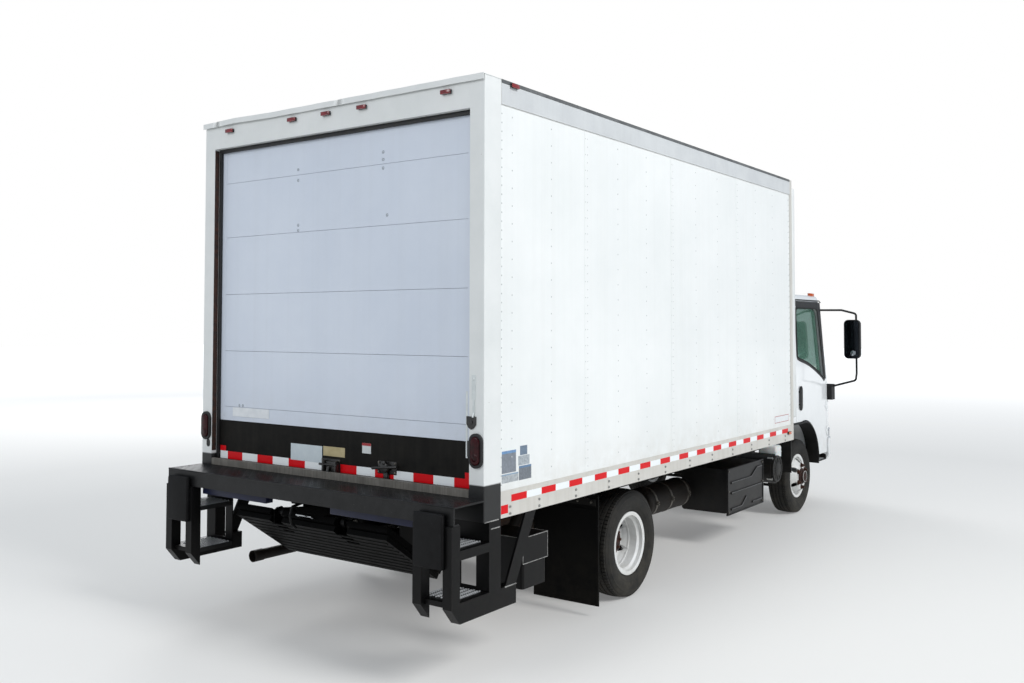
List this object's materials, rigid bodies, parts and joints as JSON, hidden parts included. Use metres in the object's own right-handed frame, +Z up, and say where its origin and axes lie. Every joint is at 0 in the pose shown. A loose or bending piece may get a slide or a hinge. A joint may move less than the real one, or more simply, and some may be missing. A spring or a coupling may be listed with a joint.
{
  "type": "box truck",
  "caption": "Box truck with a tilting forward-control cab, ladder chassis, closed dry-freight body with roll-up rear door, rear steps and a folded tuck-under lift gate.",
  "frame": {"origin": "on the ground under the centre of the outline box", "axes": "+X forward along the truck, +Y to its left, +Z up"},
  "size_m": [7.298, 2.67, 3.319],
  "materials": {
    "white_paint": "gloss enamel",
    "white_panel": "pre-painted sheet",
    "aluminium_rail": "mill finish",
    "black_paint": "gloss enamel",
    "chassis_black": "satin",
    "cast_iron": "raw",
    "tyre": "rubber",
    "rubber": "matte",
    "black_plastic": "moulded",
    "steel_exhaust": "heat stained",
    "glass": "tinted",
    "lamp_lens": "moulded lens",
    "lamp_clear": "clear lens",
    "lamp_amber": "moulded lens",
    "seat_fabric": "woven",
    "floor_wood": "oiled"
  },
  "bodies": {
    "chassis": {"ladder_frame": "chassis_black", "leaf_springs": "chassis_black", "front_axle": "cast_iron", "rear_axle": "cast_iron", "engine": "cast_iron", "driveline": "chassis_black", "fuel_tank": "black_paint", "exhaust": "steel_exhaust", "battery_box": "black_plastic", "air_cleaner": "black_plastic", "front_bumper": "white_paint", "mud_flaps": "rubber", "box_floor": "floor_wood", "floor_crossmembers": "chassis_black", "floor_sills": "chassis_black", "side_panels_left": "white_panel", "side_panels_right": "white_panel", "front_wall": "white_panel", "roof": "aluminium_rail", "body_rails": "aluminium_rail", "rear_frame": "white_paint", "roller_door": "white_panel", "body_lamps": "lamp_lens", "dock_plate": "black_paint", "step_frame_left": "black_paint", "step_frame_right": "black_paint", "step_treads": "black_paint", "pump_box": "black_paint", "gate_frame": "black_paint"},
    "cab": {"cab_shell": "white_paint", "cab_glass": "glass", "front_grille": "black_plastic", "headlamps": "lamp_clear", "roof_lamps": "lamp_amber", "arches": "black_plastic", "seats": "seat_fabric", "dashboard": "black_plastic", "mirrors": "black_plastic"},
    "steering_wheel": {"steering_wheel": "black_plastic"},
    "door_left": {"door_left": "white_paint", "door_glass_left": "glass"},
    "door_right": {"door_right": "white_paint", "door_glass_right": "glass"},
    "knuckle_left": {"knuckle_left": "cast_iron"},
    "knuckle_right": {"knuckle_right": "cast_iron"},
    "tie_rod": {"tie_rod": "chassis_black"},
    "wheel_front_left": {"wheel_front_left": "white_paint", "tyre_front_left": "tyre"},
    "wheel_front_right": {"wheel_front_right": "white_paint", "tyre_front_right": "tyre"},
    "wheels_rear_left": {"wheels_rear_left": "white_paint", "tyres_rear_left": "tyre"},
    "wheels_rear_right": {"wheels_rear_right": "white_paint", "tyres_rear_right": "tyre"},
    "lift_arms": {"lift_arms": "black_paint"},
    "parallel_arms": {"parallel_arms": "black_paint"},
    "folded_platform": {"folded_platform": "black_paint"},
    "cylinder_barrel": {"cylinder_barrel": "black_paint"},
    "cylinder_rod": {"cylinder_rod": "steel_exhaust"}
  },
  "joints": [
    {"name": "steer_left", "type": "hinge", "parent": "chassis", "child": "knuckle_left", "pos_m": [2.428, 0.69, 0.38], "axis": [0, 0, 1], "range_deg": [-36, 36]},
    {"name": "steer_right", "type": "hinge", "parent": "chassis", "child": "knuckle_right", "pos_m": [2.428, -0.69, 0.38], "axis": [0, 0, 1], "range_deg": [-36, 36]},
    {"name": "tie_rod_swing", "type": "hinge", "parent": "knuckle_left", "child": "tie_rod", "pos_m": [2.258, 0.69, 0.286], "axis": [0, 0, 1], "range_deg": [-36, 36]},
    {"name": "steering_wheel_turn", "type": "hinge", "parent": "cab", "child": "steering_wheel", "pos_m": [2.991, 0.44, 1.46], "axis": [-0.419, 0, 0.908], "range_deg": [-540, 540]},
    {"name": "spin_front_left", "type": "hinge", "parent": "knuckle_left", "child": "wheel_front_left", "pos_m": [2.428, 0.833, 0.38], "axis": [0, 1, 0], "continuous": true},
    {"name": "spin_front_right", "type": "hinge", "parent": "knuckle_right", "child": "wheel_front_right", "pos_m": [2.428, -0.833, 0.38], "axis": [0, 1, 0], "continuous": true},
    {"name": "spin_rear_left", "type": "hinge", "parent": "chassis", "child": "wheels_rear_left", "pos_m": [-1.382, 0.825, 0.38], "axis": [0, 1, 0], "continuous": true},
    {"name": "spin_rear_right", "type": "hinge", "parent": "chassis", "child": "wheels_rear_right", "pos_m": [-1.382, -0.825, 0.38], "axis": [0, 1, 0], "continuous": true},
    {"name": "cab_tilt", "type": "hinge", "parent": "chassis", "child": "cab", "pos_m": [3.551, 0, 0.745], "axis": [0, 1, 0], "range_deg": [0, 45]},
    {"name": "door_left_hinge", "type": "hinge", "parent": "cab", "child": "door_left", "pos_m": [3.131, 1, 0.8], "axis": [0, 0, 1], "range_deg": [-70, 0]},
    {"name": "door_right_hinge", "type": "hinge", "parent": "cab", "child": "door_right", "pos_m": [3.131, -1, 0.8], "axis": [0, 0, 1], "range_deg": [0, 70]},
    {"name": "gate_lift", "type": "hinge", "parent": "chassis", "child": "lift_arms", "pos_m": [-2.849, 0, 0.7], "axis": [0, 1, 0], "range_deg": [-36, 0]},
    {"name": "parallel_swing", "type": "hinge", "parent": "chassis", "child": "parallel_arms", "pos_m": [-2.779, 0, 0.625], "axis": [0, 1, 0], "range_deg": [-36, 0]},
    {"name": "platform_level", "type": "hinge", "parent": "lift_arms", "child": "folded_platform", "pos_m": [-3.43882, 0, 0.77033], "axis": [0, 1, 0], "range_deg": [0, 36]},
    {"name": "barrel_swing", "type": "hinge", "parent": "chassis", "child": "cylinder_barrel", "pos_m": [-2.299, 0, 0.64], "axis": [0, 1, 0], "range_deg": [-4, 4]},
    {"name": "rod_slide", "type": "slide", "parent": "cylinder_barrel", "child": "cylinder_rod", "axis": [-0.9941, 0, -0.1084], "range_m": [-0.0738, 0]}
  ],
  "couplings": [
    {"joint": "steer_right", "follows": "steer_left", "ratio": 1},
    {"joint": "tie_rod_swing", "follows": "steer_left", "ratio": -1},
    {"joint": "steering_wheel_turn", "follows": "steer_left", "ratio": 15},
    {"joint": "parallel_swing", "follows": "gate_lift", "ratio": 1},
    {"joint": "platform_level", "follows": "gate_lift", "ratio": -1},
    {"joint": "barrel_swing", "follows": "gate_lift", "ratio": -0.05009},
    {"joint": "rod_slide", "follows": "gate_lift", "m_per_rad": 0.11517}
  ]
}
